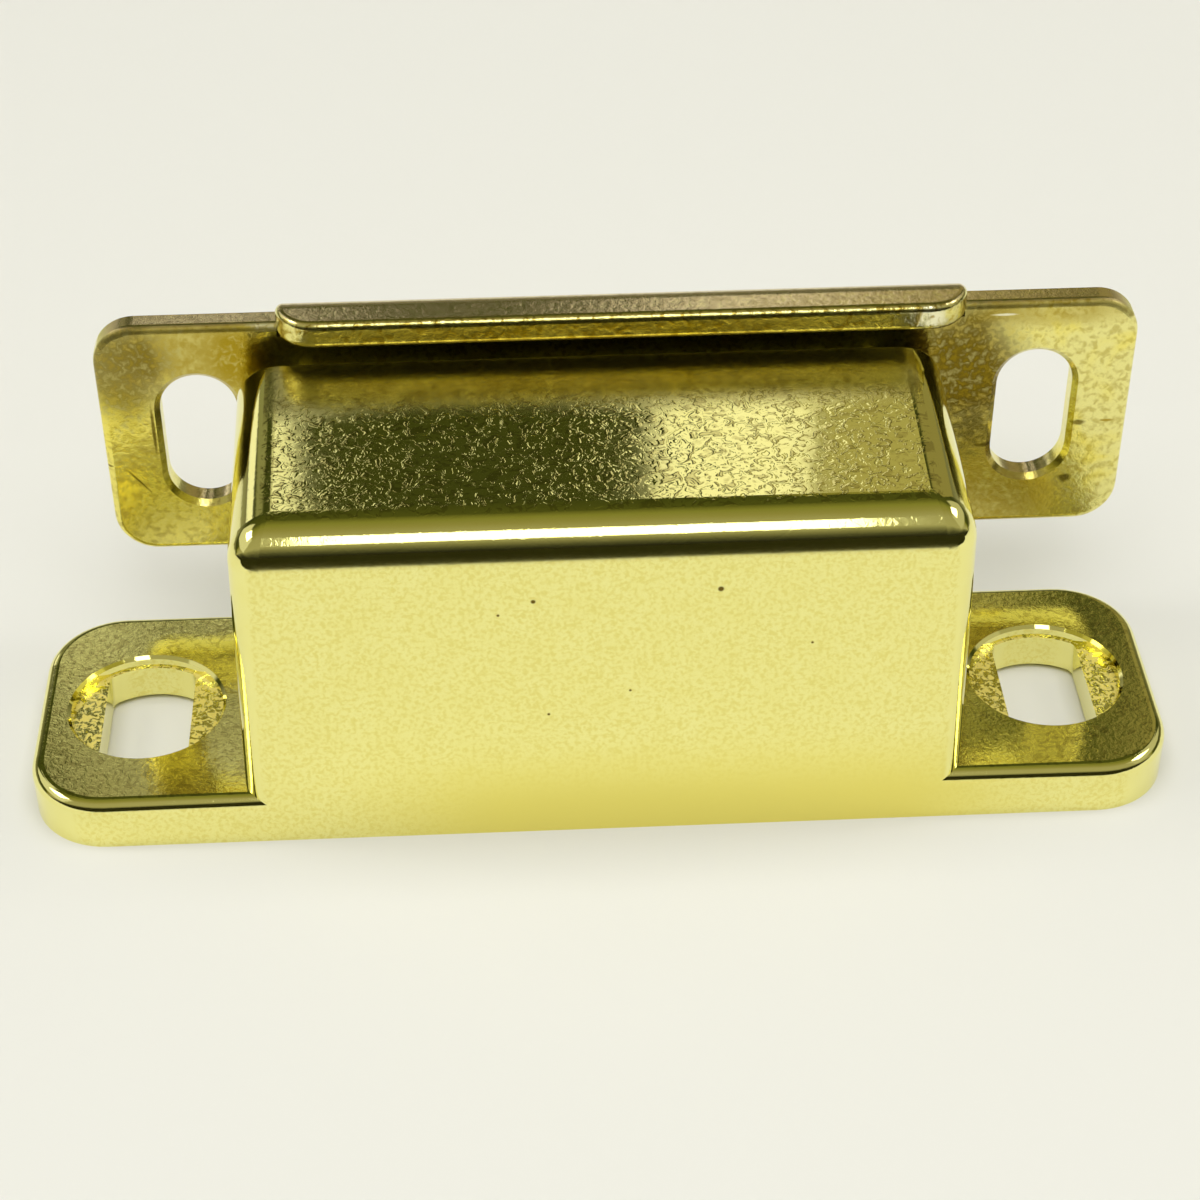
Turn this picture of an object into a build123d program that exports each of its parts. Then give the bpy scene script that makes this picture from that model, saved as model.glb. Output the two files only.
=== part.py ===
from build123d import *
import os
from math import radians, tan

# Heavy-duty magnetic cabinet catch, all sizes in millimetres.
#
# A die-cast, brass-plated housing screws down through two ears. Its block holds a
# magnet pack: two ferrite blocks between two steel pole plates, slid in through a
# window in the back wall and kept there by a spring pin. A folded steel strike
# plate, which screws to the door, clings to the front edges of the pole plates.
#
# Origin: middle of the mounting face. X runs along the ears, +Y is the magnet side,
# towards the strike plate, and +Z stands up off the mounting face.

# ---------------------------------------------------------------- driving sizes

# Base of the housing, with its two screw ears
base_depth = 19.0
ear_length = 13.8
ear_thickness = 3.5
ear_corner_r = 5.0
ear_edge_r = 0.85

# Double-D screw slots: a round rim, sunk a little for the screw head, whose middle
# goes through between two flats, so the screw can be shifted along Y
screw_inset = 7.0
rim_r = 4.95
rim_sink = 0.8
rim_chamfer = 0.2
rim_ledge = 0.2
slot_width = 5.7
slot_corner_r = 0.8
slot_foot_chamfer = 0.4

# Block that rises from the base, its front flush with the front of the base. It
# leans in as it rises and flares a little towards the back.
block_length = 45.4
block_flare = 0.4
block_height = 23.9
draft = 1.4
top_edge_r = 2.8
front_corner_r = 1.9
back_edge_r = 0.35
wall = 2.0

# Magnet pack
magnet_length = 16.5
magnet_depth = 10.0
magnet_thickness = 7.0
magnet_inset = 1.2
magnet_chamfer = 0.4
pole_length = 38.0
pole_thickness = 2.0
pole_proud = 1.3
pole_corner_r = 0.8
pole_chamfer = 0.25
pole_tail = 1.0
pack_floor_z = 9.1

# Pocket for the pack, open to the back through the window
side_clearance = 0.15
roof_clearance = 0.3
tail_clearance = 0.3
pocket_corner_r = 0.3
window_chamfer = 0.5

# Cores drawn out of the underside, one each side of the rib that holds the pin
pocket_floor = 2.1
pocket_wall = 1.8
middle_rib = 9.0
core_draft = 1.0
core_corner_r = 1.0

# Spring pin, driven up from the underside through the pack
pin_d = 3.0
pin_wall = 0.55
pin_slit = 0.6
pin_chamfer = 0.3
pin_recess = 0.6
pin_bite = 1.7
pin_end_gap = 0.2
pin_hole_clearance = 0.2

# Strike plate, folded from thick sheet, as it lies against the pole plates
strike_sheet = 1.9
strike_length = 67.4
strike_height = 17.6
strike_corner_r = 2.8
strike_edge_r = 0.5
strike_back_chamfer = 0.35
strike_bottom_z = 8.0
strike_shift = 1.95
strike_slot_pitch = 54.6
strike_slot_width = 5.0
strike_slot_length = 9.9
strike_slot_chamfer = 0.35

# Lip of the strike plate, folded forward over the block
lip_length = 44.0
lip_shift = 0.2
lip_depth = 4.35
lip_rise = 1.45
lip_bend_r = 0.5
lip_corner_r = 2.6

# ------------------------------------------------------- sizes worked out of them

base_length = block_length + 2 * ear_length
screw_pitch = base_length - 2 * screw_inset
front_y = -base_depth / 2
back_y = base_depth / 2
lean = tan(radians(draft))

pack_height = magnet_thickness + 2 * pole_thickness
pack_roof_z = pack_floor_z + pack_height
pole_face_y = back_y + pole_proud
magnet_face_y = pole_face_y - magnet_inset
magnet_tail_y = magnet_face_y - magnet_depth
pole_tail_y = magnet_tail_y - pole_tail
pole_depth = pole_face_y - pole_tail_y
pole_mid_y = (pole_face_y + pole_tail_y) / 2

pocket_end_y = pole_tail_y - tail_clearance
pocket_length = pole_length + 2 * side_clearance
pocket_height = pack_height + roof_clearance

core_half = block_length / 2 - block_height * lean - wall
core_length = core_half - middle_rib / 2
core_pitch = core_half + middle_rib / 2
core_front_y = front_y + wall
low_core_back_y = back_y - block_height * lean - wall
low_core_roof_z = pack_floor_z - pocket_floor
tall_core_back_y = pocket_end_y - pocket_wall
tall_core_roof_z = block_height - wall

pin_y = (magnet_face_y + magnet_tail_y) / 2
pin_top_z = pack_roof_z + roof_clearance + pin_bite
pin_length = pin_top_z - pin_recess

# ------------------------------------------------------------------------ housing

# Base plate with rounded ear corners and a softened upper edge
with BuildPart() as base:
    with BuildSketch(Plane.XY):
        RectangleRounded(base_length, base_depth, ear_corner_r)
    extrude(amount=ear_thickness)
    fillet(base.faces().sort_by(Axis.Z)[-1].edges(), radius=ear_edge_r)

    # Sunk rims for the screw heads
    with BuildSketch(Plane.XY.offset(ear_thickness - rim_sink)):
        with GridLocations(screw_pitch, 0, 2, 1):
            Circle(rim_r)
    extrude(amount=rim_sink, mode=Mode.SUBTRACT)

    # The way through, a ledge smaller than the rim, between the two flats
    with BuildSketch(Plane.XY) as way_through:
        with GridLocations(screw_pitch, 0, 2, 1):
            Circle(rim_r - rim_ledge)
        with GridLocations(screw_pitch, 0, 2, 1):
            Rectangle(slot_width, 2 * rim_r, mode=Mode.INTERSECT)
        fillet(way_through.vertices(), radius=slot_corner_r)
    extrude(amount=ear_thickness, mode=Mode.SUBTRACT)

    # Rims and feet of the ways through are broken
    chamfer(base.faces().sort_by(Axis.Z)[-1].inner_wires().edges(), length=rim_chamfer)
    chamfer(base.faces().sort_by(Axis.Z)[0].inner_wires().edges(), length=slot_foot_chamfer)

# Block: a plan that flares towards the back, drawn up with draft and cut off square
# in front
with BuildPart() as block:
    with BuildSketch(Plane.XY):
        with BuildLine():
            overhang = block_height * lean + wall
            nose_half = block_length / 2 - block_flare * overhang / base_depth
            tail_half = block_length / 2 + block_flare
            Polyline(
                (-nose_half, front_y - overhang),
                (nose_half, front_y - overhang),
                (tail_half, back_y),
                (-tail_half, back_y),
                close=True,
            )
        make_face()
    extrude(amount=block_height, taper=draft)
    split(bisect_by=Plane.XZ.offset(-front_y), keep=Keep.BOTTOM)

    # Rounded over in front and at both ends
    fillet(block.faces().sort_by(Axis.Z)[-1].edges().sort_by(Axis.Y)[:-1], radius=top_edge_r)
    front_uprights = block.faces().sort_by(Axis.Y)[0].edges().sort_by(Axis.X)
    fillet([front_uprights[0], front_uprights[-1]], radius=front_corner_r)

    # The edge round the back wall is only broken
    fillet(block.faces().sort_by(Axis.Y)[-1].edges().sort_by(Axis.Z)[1:], radius=back_edge_r)

    # Pocket for the magnet pack, with its window in the back wall
    with BuildSketch(Plane.XZ.offset(-pocket_end_y)):
        with Locations((0, pack_floor_z + pocket_height / 2)):
            RectangleRounded(pocket_length, pocket_height, pocket_corner_r)
    extrude(amount=pocket_end_y - pole_face_y, mode=Mode.SUBTRACT)
    window_rim = block.faces().sort_by(Axis.Y)[-1].inner_wires()[0].edges()
    chamfer(window_rim, length=window_chamfer)

with BuildPart() as housing:
    add(base.part)
    add(block.part)

    # Hollows cored out of the underside, one each side of the middle rib: low ones
    # under the pocket, and tall ones between the front wall and the pocket's inner end
    core_mouths = (
        (low_core_back_y, low_core_roof_z),
        (tall_core_back_y, tall_core_roof_z),
    )
    for core_back_y, core_roof_z in core_mouths:
        with BuildSketch(Plane.XY):
            with Locations((0, (core_front_y + core_back_y) / 2)):
                with GridLocations(core_pitch, 0, 2, 1):
                    RectangleRounded(core_length, core_back_y - core_front_y, core_corner_r)
        extrude(amount=core_roof_z, taper=core_draft, mode=Mode.SUBTRACT)

    # Blind hole for the spring pin, up through the rib and the pocket into the roof
    with BuildSketch(Plane.XY):
        with Locations((0, pin_y)):
            Circle(pin_d / 2)
    extrude(amount=pin_top_z + pin_end_gap, mode=Mode.SUBTRACT)

# -------------------------------------------------------------------- magnet pack

magnets = []
for side, name in ((-1, "magnet_left"), (1, "magnet_right")):
    with BuildPart() as magnet:
        with BuildSketch(Plane.XY.offset(pack_floor_z + pole_thickness)):
            with Locations((side * (pole_length - magnet_length) / 2, magnet_face_y - magnet_depth / 2)):
                Rectangle(magnet_length, magnet_depth)
        extrude(amount=magnet_thickness)
        chamfer(magnet.edges().filter_by(Axis.Z), length=magnet_chamfer)
    magnet.part.label = name
    magnets.append(magnet)

pole_plates = []
for base_z, name in (
    (pack_floor_z, "pole_plate_lower"),
    (pack_roof_z - pole_thickness, "pole_plate_upper"),
):
    with BuildPart() as pole_plate:
        with BuildSketch(Plane.XY.offset(base_z)):
            with Locations((0, pole_mid_y)):
                RectangleRounded(pole_length, pole_depth, pole_corner_r)
            with Locations((0, pin_y)):
                Circle(pin_d / 2 + pin_hole_clearance, mode=Mode.SUBTRACT)
        extrude(amount=pole_thickness)
        # Its edges are broken all round
        flats = pole_plate.faces().filter_by(Axis.Z)
        chamfer([*flats[0].outer_wire().edges(), *flats[1].outer_wire().edges()], length=pole_chamfer)
    pole_plate.part.label = name
    pole_plates.append(pole_plate)

# Rolled from spring steel, so it has a slit down its side
with BuildPart() as spring_pin:
    with BuildSketch(Plane.XY.offset(pin_recess)):
        with Locations((0, pin_y)):
            Circle(pin_d / 2)
    extrude(amount=pin_length)
    chamfer(spring_pin.faces().filter_by(Plane.XY).edges(), length=pin_chamfer)
    with BuildSketch(Plane.XY.offset(pin_recess)):
        with Locations((0, pin_y)):
            Circle(pin_d / 2 - pin_wall)
        with Locations((pin_d / 2, pin_y)):
            Rectangle(pin_d, pin_slit)
    extrude(amount=pin_length, mode=Mode.SUBTRACT)

# ------------------------------------------------------------------- strike plate

strike_top_z = strike_bottom_z + strike_height
strike_mid_z = strike_bottom_z + strike_height / 2
strike_back_y = pole_face_y + strike_sheet
lip_top_z = strike_top_z + lip_rise
bend_outer_r = lip_bend_r + strike_sheet
bend_z = lip_top_z - bend_outer_r
lip_front_y = strike_back_y - lip_depth
lip_mid_x = strike_shift + lip_shift

# Lip: a quarter bend, then flat, towards the block, its edges rolled as well
with BuildPart() as lip:
    with BuildSketch(Plane.YZ.offset(lip_mid_x - lip_length / 2)):
        with BuildLine():
            Line((strike_back_y, bend_z), (pole_face_y, bend_z))
            RadiusArc(
                (pole_face_y, bend_z),
                (pole_face_y - lip_bend_r, bend_z + lip_bend_r),
                -lip_bend_r,
            )
            Polyline(
                (pole_face_y - lip_bend_r, bend_z + lip_bend_r),
                (lip_front_y, bend_z + lip_bend_r),
                (lip_front_y, lip_top_z),
                (strike_back_y - bend_outer_r, lip_top_z),
            )
            RadiusArc(
                (strike_back_y - bend_outer_r, lip_top_z),
                (strike_back_y, bend_z),
                bend_outer_r,
            )
        make_face()
    extrude(amount=lip_length)
    fillet(lip.faces().sort_by(Axis.Y)[0].edges().filter_by(Axis.Z), radius=lip_corner_r)
    lip_foot = lip.faces().filter_by(Plane.XY).sort_by(Axis.Y)[:2].sort_by(Axis.Z)[0]
    fillet(lip_foot.edges().sort_by(Axis.Y)[:-1], radius=strike_edge_r)
    lip_top = lip.faces().sort_by(Axis.Z)[-1]
    fillet(lip_top.edges().sort_by(Axis.Y)[:-1], radius=strike_edge_r)

with BuildPart() as strike_plate:
    # Flat plate with a slot for a screw in each ear, its front edge rolled by the die
    # and its other edges broken
    with BuildSketch(Plane.XZ.offset(-pole_face_y)):
        with Locations((strike_shift, strike_mid_z)):
            RectangleRounded(strike_length, strike_height, strike_corner_r)
            with GridLocations(strike_slot_pitch, 0, 2, 1):
                SlotOverall(strike_slot_length, strike_slot_width, rotation=90, mode=Mode.SUBTRACT)
    extrude(amount=-strike_sheet)
    strike_faces = strike_plate.faces().filter_by(Axis.Y).sort_by(Axis.Y)
    slot_rims = [*strike_faces[0].inner_wires().edges(), *strike_faces[-1].inner_wires().edges()]
    fillet(strike_faces[0].outer_wire().edges(), radius=strike_edge_r)
    chamfer(strike_faces[-1].outer_wire().edges(), length=strike_back_chamfer)
    chamfer(slot_rims, length=strike_slot_chamfer)

    # Between the ears it is flat only up to where the lip's bend starts
    with BuildSketch(Plane.XZ.offset(-pole_face_y)):
        with Locations((lip_mid_x, strike_top_z)):
            Rectangle(lip_length, 2 * (strike_top_z - bend_z))
    extrude(amount=-strike_sheet, mode=Mode.SUBTRACT)

    add(lip.part)

# -------------------------------------------------------------------------- files

housing.part.label = "housing"
spring_pin.part.label = "spring_pin"
strike_plate.part.label = "strike_plate"

os.makedirs("parts", exist_ok=True)
for piece in [housing, *magnets, *pole_plates, spring_pin, strike_plate]:
    export_step(piece.part, f"parts/{piece.part.label}.step")
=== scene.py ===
import math

import bpy
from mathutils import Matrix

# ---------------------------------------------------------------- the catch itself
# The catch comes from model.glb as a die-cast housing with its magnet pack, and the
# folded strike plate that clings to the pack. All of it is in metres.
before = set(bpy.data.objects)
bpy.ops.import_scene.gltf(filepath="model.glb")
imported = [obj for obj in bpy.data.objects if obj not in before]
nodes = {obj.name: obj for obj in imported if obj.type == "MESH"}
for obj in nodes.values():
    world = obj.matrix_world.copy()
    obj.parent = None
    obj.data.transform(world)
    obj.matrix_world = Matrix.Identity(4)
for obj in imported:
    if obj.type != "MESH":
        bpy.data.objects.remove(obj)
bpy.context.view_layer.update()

# ---------------------------------------------------------------- housing
# One zinc die casting, plated bright brass. The block's top keeps a coarse peel from
# the die, its walls a fine grain, and the rolled edges between them are polished.
# The back of the top, towards the strike's lip, is darkened with painted shade.
block_crown_z = (0.020, 0.022)
ear_top_z = (0.0032, 0.0040)
seat_z = (0.0022, 0.0030)
lip_shade_y = (0.0015, 0.0045)
foot_z = (0.0085, 0.0020)
foot_x = (-0.012, 0.024)

brass_pale = (0.95, 0.915, 0.38)
brass_deep = (0.92, 0.86, 0.30)
brass_foot = (0.88, 0.79, 0.20)
brass_satin = (0.86, 0.78, 0.24)
# Dull brass: the mottle of the peel and the ears, and the painted shade near the lip
dull_brass_and_shade = (0.50, 0.43, 0.14)
brass_grain = (0.74, 0.62, 0.16)
pit_brown = (0.16, 0.11, 0.02)

# Heights of the relief, as shares of the bump's distance
bump_distance = 2.4e-5
peel_all_over = 0.03
peel_on_top = 0.17
broad_height = 0.10
cast_on_ears = 0.30
cast_on_seats = 2.2
fine_all_over = 0.01
fine_on_front = 0.05

# Roughness of the plating: polished, and what each place adds
polished = 0.04
satin_front = 0.12
uneven_polish = 0.04
satin_ears = 0.03
satin_under_lip = 0.16

# Casting pits on the front wall: across, height, radius
front_pits = (
    (-0.00429, 0.01866, 0.00019),
    (0.00686, 0.01916, 0.00024),
    (-0.00640, 0.01770, 0.00012),
    (0.00150, 0.01150, 0.00011),
    (-0.00350, 0.00980, 0.00012),
    (0.01250, 0.01480, 0.00011),
)


def new_material(name):
    material = bpy.data.materials.new(name)
    material.use_nodes = True
    tree = material.node_tree
    return material, tree, tree.nodes["Principled BSDF"]


def dress(material, *names):
    """The CAD nodes of these names get the material."""
    for name in names:
        nodes[name].data.materials.clear()
        nodes[name].data.materials.append(material)


def feed(tree, socket, value):
    if isinstance(value, bpy.types.NodeSocket):
        tree.links.new(value, socket)
    else:
        socket.default_value = value


def calc(tree, operation, *values):
    node = tree.nodes.new("ShaderNodeMath")
    node.operation = operation
    for socket, value in zip(node.inputs, values):
        feed(tree, socket, value)
    return node.outputs[0]


def times(tree, first, second):
    return calc(tree, "MULTIPLY", first, second)


def fade(tree, value, start, end):
    """0 up to start and 1 from end on, smooth between; start may be the larger."""
    node = tree.nodes.new("ShaderNodeMapRange")
    node.interpolation_type = "SMOOTHSTEP"
    feed(tree, node.inputs["Value"], value)
    node.inputs["From Min"].default_value = start
    node.inputs["From Max"].default_value = end
    return node.outputs["Result"]


def between(tree, value, low, high, edge):
    """1 from low to high and 0 outside, with soft edges."""
    rise = fade(tree, value, low - edge, low + edge)
    fall = fade(tree, value, high + edge, high - edge)
    return times(tree, rise, fall)


def grain(tree, place, scale, detail=2.0, distortion=0.0):
    node = tree.nodes.new("ShaderNodeTexNoise")
    node.inputs["Scale"].default_value = scale
    node.inputs["Detail"].default_value = detail
    node.inputs["Distortion"].default_value = distortion
    feed(tree, node.inputs["Vector"], place)
    return node.outputs["Fac"]


def mix(tree, amount, first, second):
    node = tree.nodes.new("ShaderNodeMix")
    node.data_type = "RGBA"
    feed(tree, node.inputs[0], amount)
    for socket, colour in ((node.inputs[6], first), (node.inputs[7], second)):
        feed(tree, socket, (*colour, 1.0) if isinstance(colour, tuple) else colour)
    return node.outputs[2]


def surface(tree):
    """The place on the piece, its three coordinates and those of its normal."""
    coordinates = tree.nodes.new("ShaderNodeTexCoord")
    place = coordinates.outputs["Object"]
    split = tree.nodes.new("ShaderNodeSeparateXYZ")
    tree.links.new(place, split.inputs[0])
    facing = tree.nodes.new("ShaderNodeSeparateXYZ")
    tree.links.new(coordinates.outputs["Normal"], facing.inputs[0])
    return place, split.outputs, facing.outputs


def bump(tree, height, distance, shader):
    node = tree.nodes.new("ShaderNodeBump")
    node.inputs["Distance"].default_value = distance
    feed(tree, node.inputs["Height"], height)
    tree.links.new(node.outputs["Normal"], shader.inputs["Normal"])


def oval(tree, across, up, mid_x, mid_z, half_x, half_z, core, ragged=0.0):
    """1 in the core of an oval on an upright wall and 0 outside it."""
    dx = calc(tree, "DIVIDE", calc(tree, "SUBTRACT", across, mid_x), half_x)
    dz = calc(tree, "DIVIDE", calc(tree, "SUBTRACT", up, mid_z), half_z)
    far = calc(tree, "MULTIPLY_ADD", dx, dx, times(tree, dz, dz))
    reach = calc(tree, "ADD", calc(tree, "SQRT", far), ragged)
    return fade(tree, reach, 1.0, core)


housing_brass, tree, shader = new_material("cast brass plating")
place, (x, y, z), (nx, ny, nz) = surface(tree)

flat_up = fade(tree, nz, 0.952, 0.966)
on_top = times(tree, flat_up, fade(tree, z, *block_crown_z))
on_ears = times(tree, flat_up, between(tree, z, *ear_top_z, 0.0001))
on_seats = times(tree, flat_up, between(tree, z, *seat_z, 0.0001))
on_front = fade(tree, ny, -0.90, -0.97)
# Where painted shade from the strike's lip darkens the block's top, which is also made
# rougher there
lip_shade_zone = times(tree, on_top, fade(tree, y, *lip_shade_y))
foot = times(tree, fade(tree, z, *foot_z), between(tree, x, *foot_x, 0.006))
foot = times(tree, foot, on_front)

worms = grain(tree, place, 1400.0, 2.0, 1.2)
ridges = fade(tree, worms, 0.55, 0.68)
hollows = fade(tree, worms, 0.44, 0.32)
peel = calc(tree, "SUBTRACT", ridges, hollows)
broad_peel = grain(tree, place, 900.0, 1.0, 0.4)
fine = grain(tree, place, 3600.0, 3.0, 0.5)
rough_cast = grain(tree, place, 2200.0, 3.0, 1.5)

relief = times(tree, peel, calc(tree, "MULTIPLY_ADD", on_top, peel_on_top, peel_all_over))
relief = calc(tree, "MULTIPLY_ADD", broad_peel, broad_height, relief)
relief = calc(tree, "MULTIPLY_ADD", rough_cast, times(tree, on_ears, cast_on_ears), relief)
relief = calc(tree, "MULTIPLY_ADD", rough_cast, times(tree, on_seats, cast_on_seats), relief)
fine_height = calc(tree, "MULTIPLY_ADD", on_front, fine_on_front, fine_all_over)
relief = calc(tree, "MULTIPLY_ADD", fine, fine_height, relief)
bump(tree, relief, bump_distance, shader)

pits = 0.0
for pit_x, pit_z, pit_r in front_pits:
    pit = oval(tree, x, z, pit_x, pit_z, pit_r, pit_r, 0.5)
    pits = calc(tree, "MAXIMUM", pits, pit)
pits = times(tree, pits, on_front)
smudge = fade(tree, grain(tree, place, 2100.0, 1.0, 0.8), 0.66, 0.76)
marble = fade(tree, grain(tree, place, 1300.0, 3.0, 1.6), 0.50, 0.62)
cells = fade(tree, grain(tree, place, 2300.0, 2.0, 1.0), 0.46, 0.56)
cells = times(tree, on_seats, cells)
satin = times(tree, fade(tree, fine, 0.42, 0.66), on_front)
scale = times(tree, fade(tree, worms, 0.50, 0.60), times(tree, on_top, 0.6))

colour = mix(tree, grain(tree, place, 420.0, 3.0, 0.6), brass_deep, brass_pale)
colour = mix(tree, satin, colour, brass_satin)
# Painted shade: the back of the block's top is darkened towards the strike's lip
colour = mix(tree, times(tree, lip_shade_zone, 0.60), colour, dull_brass_and_shade)
colour = mix(tree, scale, colour, dull_brass_and_shade)
colour = mix(tree, times(tree, smudge, 0.5), colour, brass_deep)
colour = mix(tree, foot, colour, brass_foot)
colour = mix(tree, times(tree, marble, times(tree, on_ears, 0.5)), colour, dull_brass_and_shade)
colour = mix(tree, cells, colour, brass_grain)
colour = mix(tree, pits, colour, pit_brown)
tree.links.new(colour, shader.inputs["Base Color"])
tree.links.new(calc(tree, "SUBTRACT", 1.0, cells), shader.inputs["Metallic"])
shine = calc(tree, "MULTIPLY_ADD", on_front, satin_front, polished)
shine = calc(tree, "MULTIPLY_ADD", grain(tree, place, 700.0, 3.0), uneven_polish, shine)
shine = calc(tree, "MULTIPLY_ADD", on_ears, satin_ears, shine)
shine = calc(tree, "MULTIPLY_ADD", lip_shade_zone, satin_under_lip, shine)
tree.links.new(shine, shader.inputs["Roughness"])
dress(housing_brass, "housing")

# ---------------------------------------------------------------- magnets
# Two ferrite blocks, pressed and fired like pottery and ground on their faces. They
# are matt, nearly black and finely speckled.
ferrite_dark = (0.030, 0.030, 0.033)
ferrite_grey = (0.075, 0.073, 0.072)

ferrite, tree, shader = new_material("ferrite")
place = surface(tree)[0]
speckle = grain(tree, place, 2400.0, 4.0)
colour = mix(tree, fade(tree, speckle, 0.4, 0.7), ferrite_dark, ferrite_grey)
tree.links.new(colour, shader.inputs["Base Color"])
shader.inputs["Roughness"].default_value = 0.72
bump(tree, speckle, 2.0e-5, shader)
dress(ferrite, "magnet_left", "magnet_right")

# ---------------------------------------------------------------- pole plates
# Mild steel plates, blanked and zinc plated. Their tumbled finish is grey and softly
# mottled, and the edges that meet the strike are rubbed brighter.
zinc_dark = (0.42, 0.44, 0.47)
zinc_pale = (0.62, 0.63, 0.64)
zinc_rubbed = (0.74, 0.74, 0.73)
rubbed_y = (0.0100, 0.0107)

pole_steel, tree, shader = new_material("zinc-plated steel")
shader.inputs["Metallic"].default_value = 1.0
place, (x, y, z), facing = surface(tree)
mottle = grain(tree, place, 650.0, 4.0, 0.5)
rubbed = times(tree, fade(tree, y, *rubbed_y), 0.6)
colour = mix(tree, mottle, zinc_dark, zinc_pale)
colour = mix(tree, rubbed, colour, zinc_rubbed)
tree.links.new(colour, shader.inputs["Base Color"])
tree.links.new(calc(tree, "MULTIPLY_ADD", mottle, 0.25, 0.22), shader.inputs["Roughness"])
bump(tree, grain(tree, place, 4200.0, 3.0), 8.0e-6, shader)
dress(pole_steel, "pole_plate_lower", "pole_plate_upper")

# ---------------------------------------------------------------- spring pin
# A slit pin rolled from spring steel, hardened blue-black and left oiled. It is
# driven up from the underside and shows only at its foot.
oiled_dark = (0.10, 0.10, 0.115)
oiled_grey = (0.22, 0.21, 0.21)

pin_steel, tree, shader = new_material("oiled spring steel")
shader.inputs["Metallic"].default_value = 1.0
place = surface(tree)[0]
oil = grain(tree, place, 900.0, 3.0)
tree.links.new(mix(tree, oil, oiled_dark, oiled_grey), shader.inputs["Base Color"])
tree.links.new(calc(tree, "MULTIPLY_ADD", oil, 0.2, 0.25), shader.inputs["Roughness"])
dress(pin_steel, "spring_pin")

# ---------------------------------------------------------------- strike plate
# Pressed and folded from thick sheet, then brass plated with less polish than the
# casting: the rolled skin shows as a pitted mottle. The yellow, amber and brown patches
# on its front and lip are painted reflections, the darker ones of the housing and the
# lip; the cream ones are painted highlights on the lip's rounded ends.
lip_front_z = (0.0252, 0.0256)
arris_z = (0.0242, 0.0257)

# Yellow, amber, brown and cream serve also as painted reflections and highlights in the
# tones below
strike_pale = (0.90, 0.84, 0.32)
strike_yellow = (0.96, 0.83, 0.15)
strike_amber = (0.40, 0.28, 0.012)
strike_brown = (0.15, 0.105, 0.010)
strike_cream = (0.97, 0.94, 0.68)
strike_top = (0.92, 0.76, 0.44)

# Painted reflections and highlights on the front, as tones: middle across and up, half
# sizes, colour, strength
strike_painted_reflections = (
    (-0.0290, 0.0135, 0.0060, 0.0080, strike_yellow, 0.7),
    (-0.0310, 0.0185, 0.0045, 0.0040, strike_yellow, 1.0),
    (-0.0255, 0.0235, 0.0075, 0.0040, strike_amber, 0.7),
    (-0.0300, 0.0225, 0.0040, 0.0050, strike_brown, 0.8),
    (-0.0222, 0.0230, 0.0030, 0.0050, strike_amber, 0.9),
    (0.0265, 0.0110, 0.0060, 0.0060, strike_amber, 0.7),
    (0.0240, 0.0205, 0.0058, 0.0075, strike_brown, 1.0),
    (0.0300, 0.0250, 0.0060, 0.0018, strike_amber, 0.6),
    (0.0, 0.0260, 0.0215, 0.0010, strike_amber, 0.7),
    (-0.0208, 0.0262, 0.0016, 0.0012, strike_cream, 0.9),
    (0.0212, 0.0263, 0.0016, 0.0012, strike_cream, 0.9),
)
# Dark marks and scratches: middle across and up, half sizes, lean across per rise, colour
strike_marks = (
    (-0.0284, 0.0178, 0.00016, 0.00260, 0.0, strike_brown),
    (-0.0298, 0.0138, 0.00013, 0.00125, -0.75, strike_brown),
    (-0.0316, 0.0150, 0.00035, 0.00012, 0.0, strike_brown),
    (0.0324, 0.0161, 0.00060, 0.00030, 0.0, strike_brown),
    (0.0343, 0.0162, 0.00060, 0.00014, 0.0, strike_amber),
    (0.0320, 0.0116, 0.00055, 0.00045, 0.0, strike_brown),
    (0.0264, 0.0145, 0.00100, 0.00020, 0.0, strike_brown),
    (0.0268, 0.0247, 0.00110, 0.00011, 0.0, strike_cream),
)

strike_brass, tree, shader = new_material("sheet brass plating")
shader.inputs["Metallic"].default_value = 1.0
place, (x, y, z), (nx, ny, nz) = surface(tree)
on_face = fade(tree, ny, -0.20, -0.60)
on_lip = times(tree, on_face, fade(tree, z, *lip_front_z))
on_rise = between(tree, nz, 0.12, 0.93, 0.05)
arris = times(tree, on_rise, between(tree, z, *arris_z, 0.0001))

clouds = grain(tree, place, 260.0, 3.0, 0.5)
flecks = grain(tree, place, 2200.0, 4.0, 0.4)
dents = grain(tree, place, 3000.0, 2.0, 0.6)
ragged = calc(tree, "MULTIPLY_ADD", flecks, 1.1, -0.55)
ragged = calc(tree, "MULTIPLY_ADD", calc(tree, "SUBTRACT", clouds, 0.5), 0.8, ragged)
frayed = times(tree, ragged, 0.5)

colour = mix(tree, fade(tree, clouds, 0.50, 0.75), strike_pale, strike_yellow)
colour = mix(tree, fade(tree, nz, 0.60, 0.95), colour, strike_top)
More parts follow.
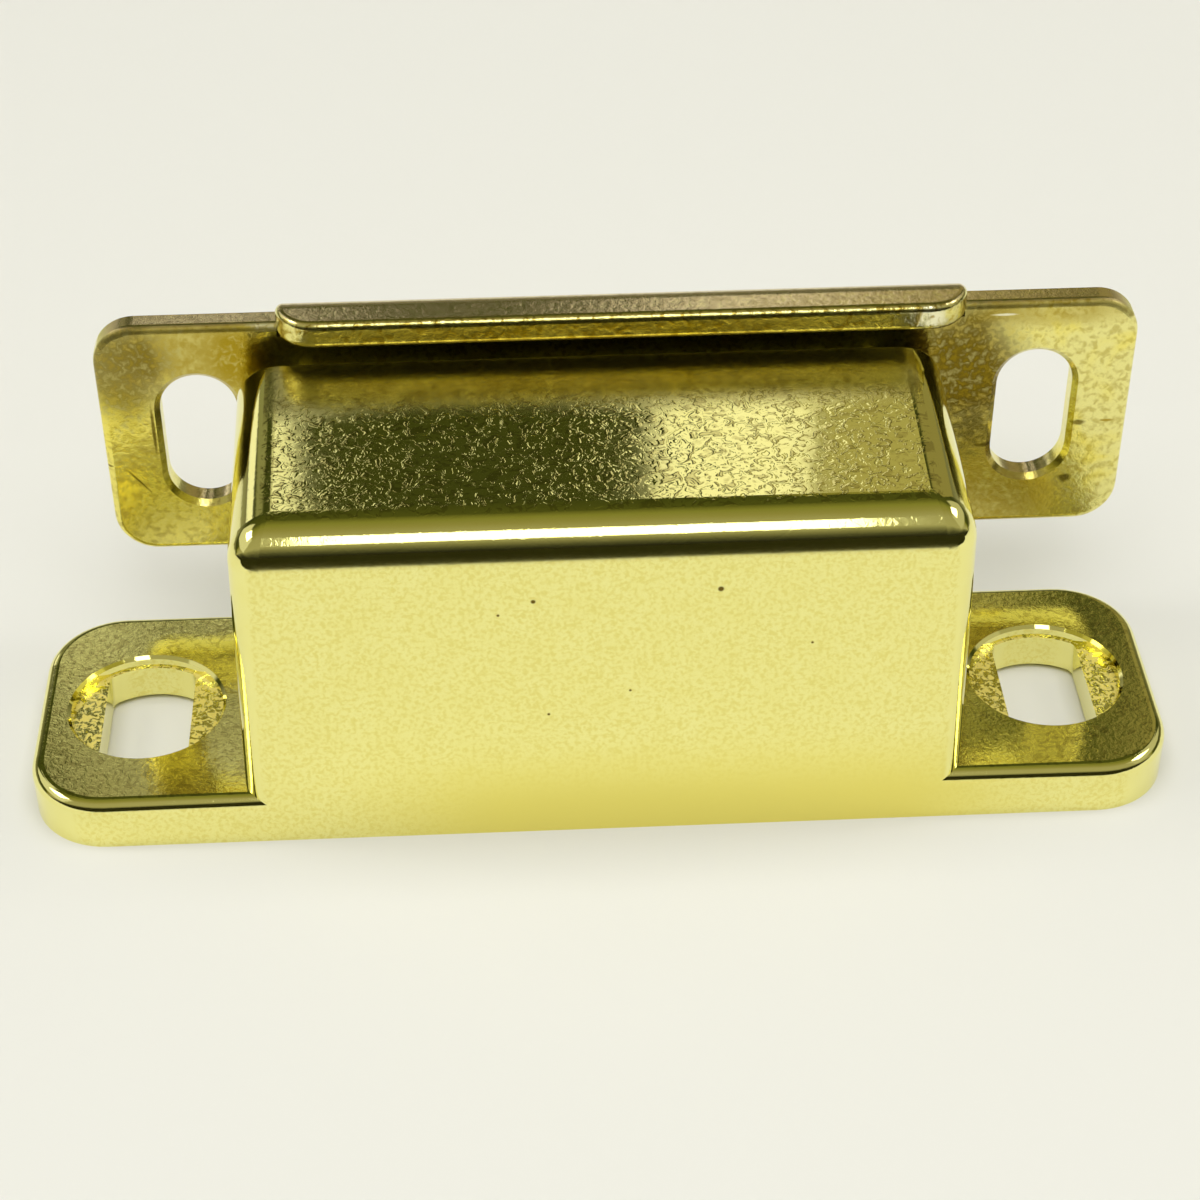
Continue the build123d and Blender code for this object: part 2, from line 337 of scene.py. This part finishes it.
# Painted reflections and highlights, patch by patch
for mid_x, mid_z, half_x, half_z, tone, strength in strike_painted_reflections:
    amount = oval(tree, x, z, mid_x, mid_z, half_x, half_z, 0.35, ragged)
    amount = times(tree, amount, times(tree, on_face, strength))
    colour = mix(tree, amount, colour, tone)
bright = times(tree, fade(tree, flecks, 0.52, 0.32), 0.25)
colour = mix(tree, bright, colour, strike_pale)
depth = calc(tree, "MULTIPLY_ADD", on_face, 0.33, 0.12)
depth = calc(tree, "MULTIPLY_ADD", on_lip, 0.35, depth)
dark = times(tree, fade(tree, flecks, 0.46, 0.66), depth)
colour = mix(tree, dark, colour, strike_amber)
for mid_x, mid_z, half_x, half_z, lean, tone in strike_marks:
    across = calc(tree, "MULTIPLY_ADD", calc(tree, "SUBTRACT", z, mid_z), -lean, x)
    amount = oval(tree, across, z, mid_x, mid_z, half_x, half_z, 0.4, frayed)
    amount = times(tree, amount, times(tree, on_face, 0.85))
    colour = mix(tree, amount, colour, tone)
tree.links.new(colour, shader.inputs["Base Color"])

dulled = calc(tree, "MULTIPLY_ADD", flecks, 0.16, 0.12)
dulled = calc(tree, "MULTIPLY_ADD", arris, 0.30, dulled)
tree.links.new(dulled, shader.inputs["Roughness"])
fleck_height = calc(tree, "MULTIPLY_ADD", on_lip, 2.0, 2.0)
relief = calc(tree, "MULTIPLY_ADD", flecks, fleck_height, dents)
bump(tree, relief, 0.8e-5, shader)
dress(strike_brass, "strike_plate")

# ---------------------------------------------------------------- floor
# A plain pale board, matt, and larger than any view of the catch. The catch stands
# on it by its mounting face, as it does where it is screwed down.
bpy.ops.mesh.primitive_circle_add(vertices=96, radius=3.0, fill_type="NGON")
floor = bpy.context.object
floor.name = "floor"
floor_material, tree, shader = new_material("pale board")
shader.inputs["Base Color"].default_value = (0.80, 0.80, 0.79, 1.0)
shader.inputs["Roughness"].default_value = 0.9
shader.inputs["Specular IOR Level"].default_value = 0.2
floor.data.materials.append(floor_material)

# ---------------------------------------------------------------- lights
# A soft lamp above the camera makes the highlights. A wide one overhead lights the
# board, and a low dark card in front, which only the metal sees, lines its edges.
def soft_lamp(name, aim, rise, distance, width, height, radiance):
    """A lamp in front of its aim and so many degrees above it, turned to face it."""
    slope = math.radians(rise)
    data = bpy.data.lights.new(name, "AREA")
    data.shape = "RECTANGLE"
    data.size = width
    data.size_y = height
    data.energy = radiance * math.pi * width * height
    lamp = bpy.data.objects.new(name, data)
    back = distance * math.cos(slope)
    up = distance * math.sin(slope)
    lamp.location = (aim[0], aim[1] - back, aim[2] + up)
    lamp.rotation_euler = (math.pi / 2 - slope, 0.0, 0.0)
    bpy.context.scene.collection.objects.link(lamp)
    return lamp


soft_lamp(
    "front lamp",
    aim=(0.025, -0.008, 0.020),
    rise=52.8,
    distance=0.80,
    width=0.21,
    height=0.29,
    radiance=2.8,
)
board_lamp = soft_lamp(
    "board lamp",
    aim=(0.0, 0.0, 0.0),
    rise=78.0,
    distance=1.2,
    width=1.2,
    height=1.2,
    radiance=2.55,
)
board_lamp.visible_glossy = False

card_y = -0.082
card_width = 0.40
card_height = 0.043
card_gap = 0.0005
bpy.ops.mesh.primitive_plane_add(size=1.0)
card = bpy.context.object
card.name = "dark_card"
card.scale = (card_width, card_height, 1.0)
card.rotation_euler = (math.pi / 2, 0.0, 0.0)
card.location = (0.0, card_y, card_height / 2 + card_gap)
card_material, tree, shader = new_material("dark card")
shader.inputs["Base Color"].default_value = (0.045, 0.045, 0.020, 1.0)
shader.inputs["Roughness"].default_value = 1.0
shader.inputs["Specular IOR Level"].default_value = 0.0
card.data.materials.append(card_material)
card.visible_camera = False
card.visible_diffuse = False
card.visible_shadow = False

# ---------------------------------------------------------------- room
# A dim room. Its brightness runs from the horizon behind the catch, over the zenith,
# to the horizon in front, with a few windows and walls behind and at the sides.
room_levels = (
    (0.00, (0.30, 0.29, 0.20)),
    (0.10, (0.12, 0.12, 0.07)),
    (0.16, (0.040, 0.046, 0.012)),
    (0.22, (0.050, 0.057, 0.014)),
    (0.39, (0.075, 0.080, 0.018)),
    (0.42, (0.14, 0.14, 0.035)),
    (0.47, (0.22, 0.22, 0.06)),
    (0.55, (0.28, 0.26, 0.11)),
    (0.64, (0.36, 0.34, 0.22)),
    (0.77, (0.38, 0.36, 0.24)),
    (0.79, (0.30, 0.29, 0.19)),
    (0.81, (0.22, 0.21, 0.13)),
    (0.86, (0.08, 0.08, 0.05)),
    (0.90, (0.025, 0.025, 0.015)),
    (1.00, (0.020, 0.018, 0.010)),
)
# Degrees to the side, degrees up, brightness and softness of the edge in degrees
room_fields = (
    ("far left wall", (-30.0, -18.5), (19.0, 31.0), (0.24, 0.24, 0.14), 1.00),
    ("left wall", (-13.2, -10.1), (29.0, 39.8), (0.66, 0.64, 0.52), 0.30),
    ("upper left wall", (-13.2, -10.1), (39.9, 46.0), (0.32, 0.30, 0.22), 0.30),
    ("left window", (-8.4, -5.35), (29.0, 37.6), (0.98, 0.96, 0.88), 0.15),
    ("left blind", (-9.8, -5.0), (38.6, 40.7), (0.25, 0.23, 0.13), 0.20),
    ("upper left window", (-9.8, -5.0), (40.8, 46.0), (0.50, 0.48, 0.38), 0.20),
    ("right window", (4.1, 8.4), (27.0, 40.0), (1.05, 1.02, 0.92), 0.15),
    ("right wall", (8.5, 14.3), (27.0, 39.4), (0.40, 0.36, 0.17), 0.40),
    ("upper right wall", (8.5, 14.3), (39.5, 46.0), (0.24, 0.22, 0.06), 0.40),
    ("far right wall", (17.6, 38.0), (12.0, 46.0), (0.26, 0.23, 0.10), 1.00),
    ("left side lamp", (-37.0, -29.5), (9.0, 19.5), (0.98, 0.96, 0.90), 0.80),
    ("left side window", (-115.0, -50.0), (18.0, 50.0), (0.70, 0.68, 0.60), 2.00),
    ("left high window", (-100.0, -72.0), (38.0, 52.0), (5.0, 4.9, 4.5), 1.00),
    ("right side window", (50.0, 115.0), (18.0, 50.0), (0.50, 0.48, 0.38), 2.00),
    ("right high window", (72.0, 100.0), (38.0, 52.0), (4.0, 3.9, 3.6), 1.00),
)
half_turn = 180.0

world = bpy.data.worlds.new("room")
world.use_nodes = True
bpy.context.scene.world = world
tree = world.node_tree
direction = tree.nodes.new("ShaderNodeTexCoord").outputs["Generated"]
split = tree.nodes.new("ShaderNodeSeparateXYZ")
tree.links.new(direction, split.inputs[0])
dir_x, dir_y, dir_z = split.outputs
over = calc(tree, "DIVIDE", calc(tree, "ARCTAN2", dir_z, dir_y), math.pi)
side = times(tree, calc(tree, "ARCTAN2", dir_x, dir_y), half_turn / math.pi)
rise = times(tree, calc(tree, "ARCSINE", dir_z), half_turn / math.pi)

ramp = tree.nodes.new("ShaderNodeValToRGB")
tree.links.new(over, ramp.inputs[0])
stops = ramp.color_ramp.elements
stops[0].color = (*room_levels[0][1], 1.0)
stops[-1].color = (*room_levels[-1][1], 1.0)
for position, level in room_levels[1:-1]:
    stops.new(position).color = (*level, 1.0)
room = ramp.outputs["Color"]
for name, sides, rises, level, edge in room_fields:
    inside_sides = between(tree, side, *sides, edge)
    inside_rises = between(tree, rise, *rises, edge)
    room = mix(tree, times(tree, inside_sides, inside_rises), room, level)
    room.node.label = name
tree.links.new(room, tree.nodes["Background"].inputs["Color"])

# ---------------------------------------------------------------- camera
# A long lens looks down on the front of the catch from a little to its left, and
# takes in all of it with the strike plate behind.
camera_place = (-0.00606, -0.13147, 0.11628)
camera_turn = (51.349, 0.209, -2.859)
camera_data = bpy.data.cameras.new("camera")
camera_data.sensor_width = 36.0
camera_data.lens = 79.14
camera = bpy.data.objects.new("camera", camera_data)
camera.location = camera_place
camera.rotation_euler = [math.radians(angle) for angle in camera_turn]
bpy.context.scene.collection.objects.link(camera)
bpy.context.scene.camera = camera
bpy.context.scene.view_settings.view_transform = "Standard"
